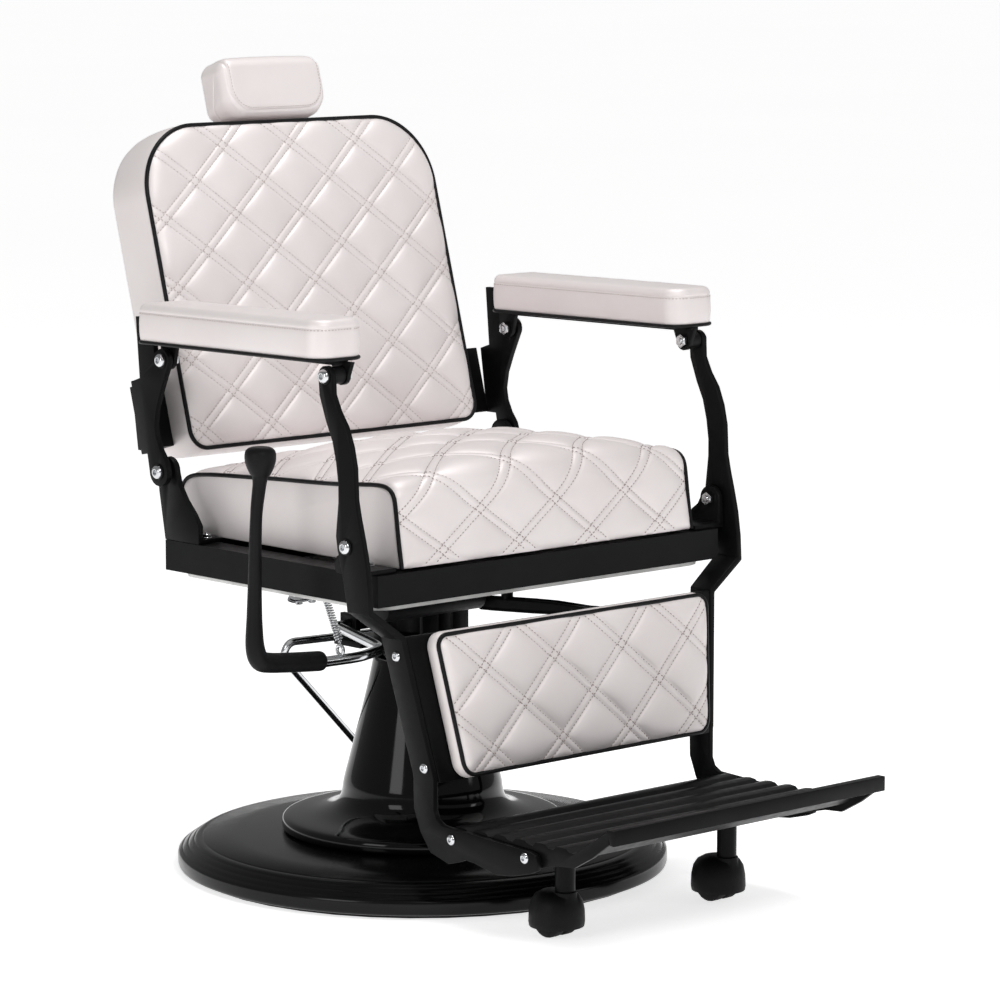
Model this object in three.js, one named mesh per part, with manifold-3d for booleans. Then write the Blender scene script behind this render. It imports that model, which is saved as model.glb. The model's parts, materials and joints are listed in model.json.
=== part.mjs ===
// Hydraulic barber chair, millimetres, +Z up, the sitter faces -Y.
// The origin is on the floor, on the axis of the column.
import * as THREE from "three";
import { mergeVertices } from "three/addons/utils/BufferGeometryUtils.js";
import Module from "manifold-3d";

const wasm = await Module();
wasm.setup();

// Driving dimensions.
const GAP = 0.3;
const DISC_R = 330;
const COLUMN_TOP = 286;
const RAIL_HALF_WIDTH = 302.5;
const RAIL_FRONT = -257;
const RAIL_REAR = 169;
const RAIL_BOTTOM = 415.4;
const RAIL_TOP = 455.5;
const RAIL_WIDTH = 38;
const BACK_TILT = 15.5;
const BACK_FOOT = [168, 579];
const BACK_HALF_WIDTH = 254;
const BACK_THICKNESS = 90;
const BACK_LENGTH = 446;
const LEG_TILT = 9.4;
const FOOT_HALF_WIDTH = 242;
const CASTER_X = 145;
const CASTER_Y = -431;
const ARM_CENTRE = 313;
const ARM_WIDTH = 80;
const ARM_TILT = 0.5;
const LEVER_PIVOT = [62, 328];

// Pivots of the armrest linkage, as [y, z].
const PIVOT_BACK = [165, 547];
const PIVOT_LEG = [-231, 493];
const PIVOT_ARM_REAR = [157, 695];
const PIVOT_ARM_FRONT = [-192, 704];

const BLACK_STEEL = [0x161618, 0.42, 0.6];
const GLOSS_BLACK = [0x0b0b0d, 0.15, 0.5];
const CHROME = [0xd8dadd, 0.12, 1.0];
const LEATHER = [0xe9dfdc, 0.45, 0.0];
const BLACK_PLASTIC = [0x101012, 0.6, 0.0];
const RUBBER = [0x0e0e0f, 0.8, 0.0];
const WHITE_BOARD = [0xd9d8d6, 0.6, 0.0];

const chair = new THREE.Group();
chair.name = "barber_chair";

// ---- helpers ----------------------------------------------------------

function solidOf(geometry) {
  const bare = new THREE.BufferGeometry();
  bare.setAttribute("position", geometry.getAttribute("position"));
  if (geometry.index) bare.setIndex(geometry.index);
  const merged = mergeVertices(bare, 1e-4);
  const triVerts = new Uint32Array(merged.index.array);
  const vertProperties = new Float32Array(merged.attributes.position.array);
  const solid = new wasm.Manifold(new wasm.Mesh({ numProp: 3, vertProperties, triVerts }));
  if (solid.volume() > 0) return solid;
  for (let i = 0; i < triVerts.length; i += 3) {
    [triVerts[i + 1], triVerts[i + 2]] = [triVerts[i + 2], triVerts[i + 1]];
  }
  return new wasm.Manifold(new wasm.Mesh({ numProp: 3, vertProperties, triVerts }));
}

function geometryOf(solid) {
  const mesh = solid.getMesh();
  const geometry = new THREE.BufferGeometry();
  geometry.setAttribute("position", new THREE.BufferAttribute(mesh.vertProperties, 3));
  geometry.setIndex(new THREE.BufferAttribute(mesh.triVerts, 1));
  const flat = geometry.toNonIndexed();
  flat.computeVertexNormals();
  return flat;
}

function addNode(name, solid, [color, roughness, metalness]) {
  const material = new THREE.MeshStandardMaterial({ color, roughness, metalness });
  const mesh = new THREE.Mesh(geometryOf(solid), material);
  mesh.name = name;
  chair.add(mesh);
}

// Adds a solid made for the +X side and its mirror image on the -X side.
function addPair(name, solid, look) {
  addNode(name + "_right", solid, look);
  addNode(name + "_left", solid.mirror([1, 0, 0]), look);
}

function union(...solids) {
  return solids.reduce((a, b) => a.add(b));
}

function cut(solid, ...tools) {
  return tools.reduce((a, b) => a.subtract(b), solid);
}

function box(x0, x1, y0, y1, z0, z1) {
  const geometry = new THREE.BoxGeometry(x1 - x0, y1 - y0, z1 - z0);
  geometry.translate((x0 + x1) / 2, (y0 + y1) / 2, (z0 + z1) / 2);
  return solidOf(geometry);
}

function shapeOf(points) {
  return new THREE.Shape(points.map(([a, b]) => new THREE.Vector2(a, b)));
}

function extrude(shape, depth, bevel = 0) {
  const options = { depth: depth - 2 * bevel, bevelEnabled: bevel > 0, curveSegments: 8 };
  Object.assign(options, { bevelThickness: bevel, bevelSize: bevel, bevelOffset: -bevel });
  options.bevelSegments = 2;
  const geometry = new THREE.ExtrudeGeometry(shape, options);
  geometry.translate(0, 0, bevel);
  return solidOf(geometry);
}

// A sheet with its outline in the YZ plane, between x0 and x1.
function plateYZ(points, x0, x1) {
  const turn = new THREE.Matrix4().set(0, 0, 1, x0, 1, 0, 0, 0, 0, 1, 0, 0, 0, 0, 0, 1);
  return extrude(shapeOf(points), x1 - x0).transform(turn.elements);
}

// A sheet with its outline in the XZ plane, between y0 and y1.
function plateXZ(points, y0, y1) {
  const turn = new THREE.Matrix4().set(1, 0, 0, 0, 0, 0, -1, y1, 0, 1, 0, 0, 0, 0, 0, 1);
  return extrude(shapeOf(points), y1 - y0).transform(turn.elements);
}

function plateXY(shape, z0, z1, bevel = 0) {
  return extrude(shape, z1 - z0, bevel).translate([0, 0, z0]);
}

function arc([cy, cz], r, from, to, steps = 8) {
  return Array.from({ length: steps + 1 }, (unused, i) => {
    const a = THREE.MathUtils.degToRad(from + ((to - from) * i) / steps);
    return [cy + r * Math.cos(a), cz + r * Math.sin(a)];
  });
}

function roundedRect(x0, x1, y0, y1, radii) {
  const [bl, br, tr, tl] = radii;
  return [
    ...arc([x0 + bl, y0 + bl], bl, 180, 270, 6),
    ...arc([x1 - br, y0 + br], br, 270, 360, 6),
    ...arc([x1 - tr, y1 - tr], tr, 0, 90, 6),
    ...arc([x0 + tl, y1 - tl], tl, 90, 180, 6),
  ];
}

function lathe(profile, segments) {
  const points = profile.map(([r, z]) => new THREE.Vector2(r, z));
  const geometry = new THREE.LatheGeometry(points, segments);
  geometry.rotateX(Math.PI / 2);
  return solidOf(geometry);
}

// A turned piece along X through [y, z]; the profile lists [radius, x].
function turnedX(profile, [y, z], segments = 20) {
  return lathe(profile, segments).rotate([0, 90, 0]).translate([0, y, z]);
}

function rodX(x0, x1, r, at, segments = 20) {
  return turnedX([[0, x0], [r, x0], [r, x1], [0, x1]], at, segments);
}

function rodZ(z0, z1, r, x, y, segments = 24) {
  return lathe([[0, z0], [r, z0], [r, z1], [0, z1]], segments).translate([x, y, 0]);
}

// A round bar along straight legs whose corners are rounded.
function bar(points, r, cornerR, sides = 10) {
  const p = points.map((q) => new THREE.Vector3(...q));
  const path = new THREE.CurvePath();
  let start = p[0];
  for (let i = 1; i < p.length - 1; i += 1) {
    const back = p[i - 1].clone().sub(p[i]).normalize();
    const on = p[i + 1].clone().sub(p[i]).normalize();
    const reach = Math.min(cornerR, 0.45 * p[i].distanceTo(p[i + 1]), 0.45 * p[i].distanceTo(p[i - 1]));
    const a = p[i].clone().addScaledVector(back, reach);
    const b = p[i].clone().addScaledVector(on, reach);
    path.add(new THREE.LineCurve3(start, a));
    path.add(new THREE.QuadraticBezierCurve3(a, p[i], b));
    start = b;
  }
  path.add(new THREE.LineCurve3(start, p[p.length - 1]));
  const ring = shapeOf(arc([0, 0], r, 0, 360 - 360 / sides, sides - 1));
  const steps = 6 * (points.length - 1);
  const geometry = new THREE.ExtrudeGeometry(ring, { steps, extrudePath: path, bevelEnabled: false });
  return solidOf(geometry);
}

// Places a solid made in the back's own frame: x across, y towards the rear, z up the slope.
function onBack(solid) {
  return solid.rotate([-BACK_TILT, 0, 0]).translate([0, BACK_FOOT[0], BACK_FOOT[1]]);
}

// ---- base and column --------------------------------------------------

function addBase() {
  addNode("base_plate", lathe([[0, 0], [313, 0], [317, 5.7], [0, 5.7]], 40), BLACK_STEEL);
  const disc = lathe(
    [
      [325, 6], [DISC_R, 10], [DISC_R, 24], [327, 28], [303, 43], [298, 45], [195, 52], [30, 52], [30, 47], [195, 47], [290, 40], [312, 24], [318, 6], [325, 6],
    ],
    40,
  );
  addNode("base_disc", disc, GLOSS_BLACK);
}

function addColumn() {
  const cover = lathe(
    [
      [184, 52.3], [190, 57], [190, 65], [183, 71], [150, 75], [122, 83], [111, 94], [108, 106],
      [107, 118], [99, 148], [86, 198], [75, 242], [69, 270], [66, COLUMN_TOP], [60, COLUMN_TOP],
      [69, 240], [93, 148], [101, 116], [116, 77], [180, 65], [180, 52.3], [184, 52.3],
    ],
    36,
  );
  addNode("column_cover", cover, GLOSS_BLACK);
  const cylinder = lathe(
    [[0, 52.3], [46, 52.3], [46, 280], [52, 283], [52, 290], [32, 290], [32, 62], [0, 62]],
    28,
  );
  addNode("pump_cylinder", cylinder, BLACK_STEEL);
  addNode("piston_rod", rodZ(66, 296.5, 31, 0, 0, 28), CHROME);
}

// ---- pump head and seat frame -----------------------------------------

function addPumpHead() {
  const head = union(
    lathe([[0, 297], [58, 297], [66, 301], [66, 318], [58, 324], [0, 324]], 28),
    rodZ(323, 399, 44, 0, 0, 24),
    box(-84, 84, 30, 84, 301, 309),
    box(70, 78, 46, 78, 308, 344),
    box(-78, -70, 46, 78, 308, 344),
  );
  addNode("pump_head", cut(head, rodX(-90, 90, 8.6, LEVER_PIVOT)), BLACK_STEEL);
}

function addSeatFrame() {
  const half = RAIL_HALF_WIDTH;
  const front = RAIL_FRONT + RAIL_WIDTH;
  const rear = RAIL_REAR - RAIL_WIDTH;
  const z = [RAIL_BOTTOM, RAIL_TOP];
  addPair("seat_rail", box(half - RAIL_WIDTH, half, front + GAP, rear - GAP, ...z), BLACK_STEEL);
  addNode("seat_rail_front", box(-half, half, RAIL_FRONT, front, ...z), BLACK_STEEL);
  addNode("seat_rail_rear", box(-half, half, rear, RAIL_REAR, ...z), BLACK_STEEL);
  const board = shapeOf(roundedRect(-290.5, 290.5, RAIL_FRONT + 12, RAIL_REAR - 12, [30, 30, 30, 30]));
  addNode("underside_panel", plateXY(board, 408, 415.1), WHITE_BOARD);
  const mount = shapeOf(roundedRect(-130, 130, -120, 120, [15, 15, 15, 15]));
  const post = rodZ(370.4, 400, 8, 46, -118);
  addNode("seat_mount", plateXY(mount, 399.3, 407.7).add(post), BLACK_STEEL);
  addSeatCushion();
}

// A wedge that is higher in front, crowned across its width.
function addSeatCushion() {
  const side = [
    [-254, 456], [-257, 500], [-252, 545], [-242, 564], [-215, 582], [-150, 594], [-60, 594],
    [20, 588], [90, 577], [140, 563], [172, 547], [186, 533], [191, 512], [189, 470], [185, 456],
  ];
  const across = [[-260, 456], [260, 456], [260, 557], [230, 569], [180, 581], [110, 590], [0, 595]];
  const crown = [...across, [-110, 590], [-180, 581], [-230, 569], [-260, 557]];
  const wedge = plateYZ(side.reverse(), -260, 260);
  addNode("seat_cushion", wedge.intersect(plateXZ(crown, -300, 240)), LEATHER);
}

// An upright ear with a foot on the rail, cut out for its pivot bolt.
function earBracket(outline, x, y0, y1, pivot) {
  const ear = plateYZ(outline, x, x + 8);
  const foot = box(266, x + 1, y0, y1, 456, 462);
  return cut(union(ear, foot), rodX(x - 4, x + 12, 5.6, pivot));
}

function addBrackets() {
  const rear = [
    [170, 456], [100, 456], [100, 480], [110, 494], [128, 512], [141, 530],
    ...arc(PIVOT_BACK, 19, 180, 0, 10),
    [182, 520],
  ];
  addPair("rear_bracket", earBracket(rear, 294, 100, 168, PIVOT_BACK), BLACK_STEEL);
  const front = [
    [-250, 456], ...arc(PIVOT_LEG, 17, 180, 0, 10), [-209, 484], [-198, 476], [-194, 468],
    [-195, 461], [-199, 456],
  ];
  addPair("front_bracket", earBracket(front, 312, -250, -199, PIVOT_LEG), BLACK_STEEL);
}

// A pivot bolt with its spacer and nut, as radii along X.
function pivotBolt(nut, spacer, head, pivot) {
  const profile = [
    [0, nut[0]], [9, nut[0]], [9, nut[1]], [5, nut[1]], [5, spacer[0]], [11, spacer[0]],
    [11, spacer[1]], [5, spacer[1]], [5, head[0]], [10, head[0]], [8.5, head[1]], [0, head[1]],
  ];
  return turnedX(profile, pivot, 12);
}

function addPivotBolts() {
  addPair("back_pivot_bolt", pivotBolt([286, 293.7], [302.3, 307.7], [316.3, 322], PIVOT_BACK), CHROME);
  addPair("leg_pivot_bolt", pivotBolt([304, 311.7], [320.3, 323.7], [332.3, 338], PIVOT_LEG), CHROME);
  const armRear = pivotBolt([291, 298.7], [305.3, 307.7], [316.3, 322], PIVOT_ARM_REAR);
  addPair("arm_rear_bolt", armRear, CHROME);
  const armFront = pivotBolt([292, 299.7], [306.3, 323.7], [332.3, 338], PIVOT_ARM_FRONT);
  addPair("arm_front_bolt", armFront, CHROME);
}

function addReclineLock() {
  addNode("recline_cylinder", rodX(-160, 12, 17, [-97.2, 378]), BLACK_PLASTIC);
  const strap = (x) => box(x, x + 28, -79.5, -73.5, 300, 399);
  const shelf = box(-70, 12, -79.5, -50, 300, 306);
  const tie = box(-70, 12, -79.5, -44, 391, 399);
  const hanger = union(strap(-70), strap(-16), shelf, tie);
  addNode("cylinder_hanger", cut(hanger, rodZ(290, 405, 67, 0, 0)), BLACK_STEEL);
  const lever = [[-38, -8], [122, -11], ...arc([122, 0], 11, -60, 60, 6), [122, 11], [-38, 8]];
  const handle = plateXY(shapeOf(lever), 360, 370);
  addNode("recline_lever", handle.rotate([0, 0, -65.6]).translate([46, -118, 0]), BLACK_STEEL);
}

// ---- pump lever -------------------------------------------------------

function addPumpLever() {
  const [py, pz] = LEVER_PIVOT;
  const shaft = rodX(-101, 101, 8, LEVER_PIVOT, 14);
  const front = bar([[-95, py, pz], [-95, -30, pz - 18], [-185, -84, pz - 11], [-262, -84, pz - 10]], 7, 22);
  const eye = rodX(-221, -213, 9, [-84, pz + 1], 16);
  const rear = bar(
    [
      [95, py, pz], [95, 96, pz - 36], [20, 104, pz - 25], [-148, 125, pz - 25], [-160, 130, pz - 44],
      [56, 208, 128], [150, 208, 128],
    ],
    5.5, 16, 8,
  );
  addNode("pump_lever_frame", union(shaft, front, eye, rear), CHROME);
  const grip = [
    [-372, 328], [-372, 382], [-369, 442], [-366, 522], [-358, 566], [-340, 566], [-346, 522],
    [-349, 442], [-347, 382], [-345, 346], [-336, 333], [-250, 333], [-250, 303], [-346, 303],
    [-362, 311],
  ];
  const knob = [[0, 556], [8, 556], [11, 561], [14, 572], [19, 584], [20, 592], [20, 600], [16, 606], [0, 607]];
  const arm = union(plateXZ(grip, -93, -75), lathe(knob, 20).translate([-348, -84, 0]));
  addNode("hand_lever", cut(arm, rodX(-266, -240, 7.6, [-84, pz - 10], 14)), BLACK_PLASTIC);
  addNode("pedal_pad", cut(rodX(84, 158, 13, [208, 128]), rodX(80, 152, 5.9, [208, 128], 14)), RUBBER);
  const spring = bar([[-217, -84, pz + 13], [-219, -64, 400]], 5, 5);
  addNode("return_spring", spring, CHROME);
}

// ---- backrest ---------------------------------------------------------

function addBackPlates() {
  const outline = [
    [176, 749], [210, 749], [203, 668], [221, 662], [208, 572], [189, 572],
    ...arc(PIVOT_BACK, 19, 0, -180, 10),
    [151, 562], [162, 576], [170, 592], [173, 608], [169, 631], [158, 658],
    ...arc(PIVOT_ARM_REAR, 15, 215, 60, 8),
    [172, 702],
  ];
  const plate = plateYZ(outline, 308, 316);
  const holes = [rodX(300, 320, 5.6, PIVOT_BACK), rodX(300, 320, 5.6, PIVOT_ARM_REAR)];
  addPair("back_plate", cut(plate, ...holes), BLACK_STEEL);
}

function addBackBand() {
  const right = [[307.7, 41], [263.5, 41], [263.5, 103]];
  const inside = [[258.5, 98], [258.5, 36], [307.7, 36]];
  const mirror = (list) => list.map(([x, y]) => [-x, y]).reverse();
  const points = [...right, ...mirror(right), ...mirror(inside), ...inside];
  addNode("back_band", onBack(plateXY(shapeOf(points), 4, 96)), BLACK_STEEL);
}

function addBackCushion() {
  const outline = roundedRect(-BACK_HALF_WIDTH, BACK_HALF_WIDTH, -10, BACK_LENGTH - 10, [25, 25, 95, 95]);
  const pad = extrude(shapeOf(outline), BACK_THICKNESS, 14).rotate([90, 0, 0]);
  addNode("back_cushion", onBack(pad.translate([0, BACK_THICKNESS, 0])), LEATHER);
}

function addHeadrest() {
  const rear = BACK_THICKNESS;
  const socket = cut(
    box(-45, 45, rear + GAP, rear + 14, 296, 420),
    box(-18.5, 18.5, rear + 4, rear + 11, 290, 430),
  );
  addNode("headrest_socket", onBack(socket), BLACK_STEEL);
  const post = union(box(-18, 18, rear + 4.5, rear + 10.5, 305, 500), box(-18, 18, 60.4, rear + 10.5, 488, 500));
  addNode("headrest_post", onBack(post), CHROME);
  const pad = plateYZ(roundedRect(2, 60, 438, 521, [20, 20, 26, 26]), -90, 90);
  addNode("headrest_pad", onBack(pad), LEATHER);
}

// ---- armrests ---------------------------------------------------------

function addArms() {
  const half = ARM_WIDTH / 2;
  const plan = roundedRect(ARM_CENTRE - half, ARM_CENTRE + half, -183, 183, [26, 26, 12, 12]);
  const pad = plateXY(shapeOf(plan), 0, 50, 8).rotate([-ARM_TILT, 0, 0]).translate([0, -22, 722]);
  addPair("arm_pad", pad, LEATHER);
  const strip = box(299, 322, -176, 172, -6, -GAP).rotate([-ARM_TILT, 0, 0]).translate([0, -22, 722]);
  const rear = plateYZ([[138, 719], ...arc(PIVOT_ARM_REAR, 13, 180, 360, 8), [172, 716]], 299, 305);
  const front = plateYZ([[-212, 721], ...arc(PIVOT_ARM_FRONT, 13, 180, 360, 8), [-172, 721]], 300, 306);
  const shoulder = box(299, 310, 138, 150, 714, 719);
  const tabs = cut(
    union(strip, rear, front, shoulder),
    rodX(295, 312, 5.6, PIVOT_ARM_REAR),
    rodX(295, 312, 7.6, PIVOT_ARM_FRONT),
  );
  addPair("arm_bracket", tabs, BLACK_STEEL);
}

// ---- legrest ----------------------------------------------------------

function addFrontLinks() {
  const rearEdge = [
    [-181, 679], [-193, 648], [-205, 624], [-212, 598], [-216, 571], [-216, 548], [-213, 522],
    [-211, 505], [-214, 488], [-224, 455], [-231, 420], [-237, 370], [-248, 300], [-258, 240],
    [-264, 200], [-265, 156], [-277, 127], [-296, 103], [-330, 94], [-348, 99], [-361, 104],
    [-378, 103], [-418, 95], [-450, 99], [-480, 107],
  ];
  const frontEdge = [
    [-491, 112], [-493, 122], [-489, 131], [-478, 134], [-318, 141], [-307, 147], [-302, 158],
    [-302, 200], [-288, 290], [-275, 372], [-274, 410], [-272, 445], [-267, 478], [-260, 506],
    [-253, 531], [-248, 553], [-247, 575], [-246, 593], [-240, 619], [-230, 643], [-216, 662],
    [-206, 682],
  ];
  const boss = arc(PIVOT_ARM_FRONT, 13, 180, 0, 8);
  const sheet = [
    [332, 730], [324, 730], [324, 416], [271.5, 378], [242.8, 196], [242.8, 80],
    [250.8, 80], [250.8, 195.5], [279.5, 374], [332, 412],
  ];
  const outline = plateYZ([...boss, ...rearEdge, ...frontEdge], 230, 340);
  const link = cut(
    outline.intersect(plateXZ(sheet, -520, -150)),
    rodX(300, 340, 5.6, PIVOT_LEG),
    rodX(300, 340, 5.3, PIVOT_ARM_FRONT),
  );
  addPair("front_link", link, BLACK_STEEL);
}

// A tapered panel in the plane of the legrest; depth runs to the front.
function legPanel(top, bottom, z0, z1, depth, front, bevel, radius) {
  const taper = (side, z) => side * (bottom + ((top - bottom) * (z - z0)) / (z1 - z0));
  const corners = [
    ...arc([taper(-1, z0) + radius, z0 + radius], radius, 180, 270, 4),
    ...arc([taper(1, z0) - radius, z0 + radius], radius, 270, 360, 4),
    ...arc([taper(1, z1) - radius, z1 - radius], radius, 0, 90, 4),
    ...arc([taper(-1, z1) + radius, z1 - radius], radius, 90, 180, 4),
  ];
  const slab = extrude(shapeOf(corners), depth, bevel).rotate([90, 0, 0]);
  return slab.translate([0, front + depth, -192]).rotate([-LEG_TILT, 0, 0]).translate([0, -304, 192]);
}

function addLegrest() {
  addNode("legrest_panel", legPanel(270.4, 241.6, 192, 380, 20, 0, 0, 3), BLACK_STEEL);
  addNode("legrest_cushion", legPanel(240, 216, 198, 377, 27, -27.3, 8, 16), LEATHER);
}

function footrestProfile() {
  const top = [[-329, 132], [-329, 137]];
  for (let i = 0; i < 6; i += 1) {
    const y = -334 - i * 36.5;
    const z = 138 + i * 0.8;
    top.push([y, z + 3.5], [y - 9, z + 4.5], [y - 18, z + 3.5], [y - 23, z], [y - 31, z]);
  }
  const toe = [[-552, 144], [-604, 177], [-606, 181], [-618, 181], [-618, 162], [-611, 162]];
  return [...top, ...toe, [-609, 171], [-554, 136], [-536, 134]];
}

function addFootrest() {
  const web = [
    [-332, 136], [-332, 112], [-345, 106], [-390, 108], [-440, 104], [-480, 112], [-520, 122],
    [-548, 124], [-580, 142], [-609, 163], [-609, 172], [-554, 140],
  ];
  const half = FOOT_HALF_WIDTH;
  const tread = union(
    plateYZ(footrestProfile(), -half, half),
    plateYZ(web, half - 6, half),
    plateYZ(web, -half, 6 - half),
  );
  addNode("footrest", tread, BLACK_STEEL);
  const panel = box(-240, 240, -329, -324, 112, 137);
  addNode("footrest_rear_bar", panel.translate([0, 0.3 + 0.4, 0]), BLACK_STEEL);
}

function addCasters() {
  addPair("caster_stem", rodZ(60.3, 132, 13, CASTER_X, CASTER_Y, 20), BLACK_STEEL);
  const wheelY = CASTER_Y + 17;
  const at = [wheelY, 25];
  const dome = [[0, 14], [35, 14], [36, 20], [35.5, 34], [33, 46], [28, 54], [20, 58.5], [12, 60], [0, 60]];
  const shell = union(
    lathe(dome, 28).translate([CASTER_X, wheelY - 2, 0]),
    rodZ(30, 60, 15, CASTER_X, CASTER_Y, 20),
  );
  const hood = cut(
    shell,
    rodX(CASTER_X - 21, CASTER_X + 21, 26.5, at, 28),
    box(CASTER_X - 21, CASTER_X + 21, wheelY - 26.5, wheelY + 26.5, 0, 25),
  );
  addPair("caster_hood", hood, BLACK_PLASTIC);
  const profile = [
    [0, -20], [21, -20], [25, -17], [25, -4], [20, -2.5], [20, 2.5], [25, 4], [25, 17], [21, 20],
    [0, 20],
  ];
  addPair("caster_wheel", turnedX(profile, at, 24).translate([CASTER_X, 0, 0]), RUBBER);
}

addBase();
addColumn();
addPumpHead();
addSeatFrame();
addBrackets();
addPivotBolts();
addReclineLock();
addPumpLever();
addBackPlates();
addBackBand();
addBackCushion();
addHeadrest();
addArms();
addFrontLinks();
addLegrest();
addFootrest();
addCasters();

export default chair;
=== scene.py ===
"""A hydraulic barber chair: upholstery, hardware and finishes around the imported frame."""
import json
import math

import bmesh
import bpy
import numpy as np
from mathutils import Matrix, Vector

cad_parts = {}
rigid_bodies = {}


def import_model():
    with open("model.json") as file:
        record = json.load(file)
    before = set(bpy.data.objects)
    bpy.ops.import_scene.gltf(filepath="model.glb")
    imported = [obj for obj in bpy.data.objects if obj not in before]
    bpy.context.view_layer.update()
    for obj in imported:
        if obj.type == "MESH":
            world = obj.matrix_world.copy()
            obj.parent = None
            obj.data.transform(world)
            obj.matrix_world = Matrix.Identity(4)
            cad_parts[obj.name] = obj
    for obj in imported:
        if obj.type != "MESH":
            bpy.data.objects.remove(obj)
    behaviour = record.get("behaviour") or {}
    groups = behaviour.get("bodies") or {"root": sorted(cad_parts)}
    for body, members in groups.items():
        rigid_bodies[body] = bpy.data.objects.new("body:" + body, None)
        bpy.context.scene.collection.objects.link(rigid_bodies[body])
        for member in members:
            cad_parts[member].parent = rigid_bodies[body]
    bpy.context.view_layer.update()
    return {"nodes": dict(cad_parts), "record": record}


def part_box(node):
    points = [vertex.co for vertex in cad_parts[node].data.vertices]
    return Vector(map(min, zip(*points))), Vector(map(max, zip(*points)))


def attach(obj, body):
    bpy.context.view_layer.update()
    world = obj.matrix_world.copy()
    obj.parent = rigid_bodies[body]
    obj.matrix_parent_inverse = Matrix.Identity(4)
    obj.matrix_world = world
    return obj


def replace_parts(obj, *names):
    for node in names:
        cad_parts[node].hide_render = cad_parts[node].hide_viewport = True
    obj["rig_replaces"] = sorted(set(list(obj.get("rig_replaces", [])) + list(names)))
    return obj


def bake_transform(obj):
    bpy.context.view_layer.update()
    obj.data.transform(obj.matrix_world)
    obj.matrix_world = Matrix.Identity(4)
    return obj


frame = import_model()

RECORD = frame["record"]
BODY_OF = {n: b for b, names in RECORD["behaviour"]["bodies"].items() for n in names}
SLOT_OF = {row["node"]: row["material_slot"] for row in RECORD["subparts"]}
# Fixed phases for the soft unevenness of the covers.
PHASES = np.random.RandomState(7).uniform(0, 2 * math.pi, (6, 3))


# ---- materials ---------------------------------------------------------------

class Nodes:
    """A short way to write a node tree for one material."""

    def __init__(self, name, **fixed):
        self.material = bpy.data.materials.new(name)
        self.material.use_nodes = True
        self.tree = self.material.node_tree
        self.shader = self.tree.nodes["Principled BSDF"]
        self.place = self.tree.nodes.new("ShaderNodeTexCoord").outputs["Object"]
        for socket, value in fixed.items():
            self.shader.inputs[socket.replace("_", " ")].default_value = value

    def add(self, kind, inputs, **settings):
        node = self.tree.nodes.new("ShaderNode" + kind)
        for key, value in settings.items():
            setattr(node, key, value)
        for key, value in inputs.items():
            if isinstance(value, bpy.types.NodeSocket):
                self.tree.links.new(value, node.inputs[key])
            else:
                node.inputs[key].default_value = value
        return node

    def noise(self, scale, detail=3.0, rough=0.5):
        inputs = {"Vector": self.place, "Scale": scale, "Detail": detail, "Roughness": rough}
        return self.add("TexNoise", inputs).outputs["Fac"]

    def cells(self, scale, feature="F1"):
        node = self.add("TexVoronoi", {"Vector": self.place, "Scale": scale}, feature=feature)
        return node.outputs["Distance"]

    def remap(self, source, low, high, to_low, to_high):
        inputs = {"Value": source, "From Min": low, "From Max": high, "To Min": to_low, "To Max": to_high}
        return self.add("MapRange", inputs).outputs["Result"]

    def colours(self, source, low, high, first, second):
        ramp = self.add("ValToRGB", {"Fac": source})
        for element, position, colour in zip(ramp.color_ramp.elements, (low, high), (first, second)):
            element.position = position
            element.color = (*colour, 1)
        self.tree.links.new(ramp.outputs["Color"], self.shader.inputs["Base Color"])

    def roughness(self, source, low, high, to_low, to_high):
        made = self.remap(source, low, high, to_low, to_high)
        self.tree.links.new(made, self.shader.inputs["Roughness"])

    def bumps(self, *layers):
        """Each layer is (height socket, strength, depth in metres)."""
        normal = None
        for height, strength, depth in layers:
            inputs = {"Height": height, "Strength": strength, "Distance": depth}
            if normal is not None:
                inputs["Normal"] = normal
            normal = self.add("Bump", inputs).outputs["Normal"]
        self.tree.links.new(normal, self.shader.inputs["Normal"])


def leather(name, light, dark, sheen):
    n = Nodes(name, Metallic=0.27, Sheen_Weight=sheen, Sheen_Roughness=0.4)
    n.colours(n.noise(9, 4), 0.35, 0.65, dark, light)
    n.roughness(n.noise(140, 3), 0.3, 0.7, 0.49, 0.57)
    n.bumps(
        (n.cells(760, "DISTANCE_TO_EDGE"), 0.10, 0.0003),
        (n.noise(1900, 2), 0.10, 0.0001),
        (n.noise(38, 3), 0.10, 0.0016),
    )
    return n.material


def powder_coat(name, base, rough):
    n = Nodes(name, Specular_IOR_Level=0.08)
    n.colours(n.noise(14, 3), 0.3, 0.7, base, tuple(1.5 * c for c in base))
    n.roughness(n.noise(90, 4), 0.3, 0.7, rough - 0.05, rough + 0.06)
    n.bumps((n.noise(1500, 2), 0.16, 0.00012), (n.noise(220, 3), 0.05, 0.0004))
    return n.material


def enamel(name, low, high, orange_peel):
    n = Nodes(name, Specular_IOR_Level=0.22)
    n.colours(n.noise(6, 3), 0.3, 0.7, (0.0015, 0.0015, 0.0016), (0.0025, 0.0025, 0.0026))
    n.roughness(n.noise(30, 5, 0.65), 0.35, 0.75, low, high)
    n.bumps((n.noise(260, 2), orange_peel, 0.0004),)
    return n.material


def chrome():
    n = Nodes("chrome_plate", Metallic=1.0)
    n.colours(n.noise(24, 3), 0.3, 0.7, (0.56, 0.57, 0.59), (0.66, 0.67, 0.68))
    n.roughness(n.noise(75, 5, 0.7), 0.3, 0.75, 0.10, 0.22)
    n.bumps((n.noise(700, 2), 0.02, 0.0002),)
    return n.material


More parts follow.
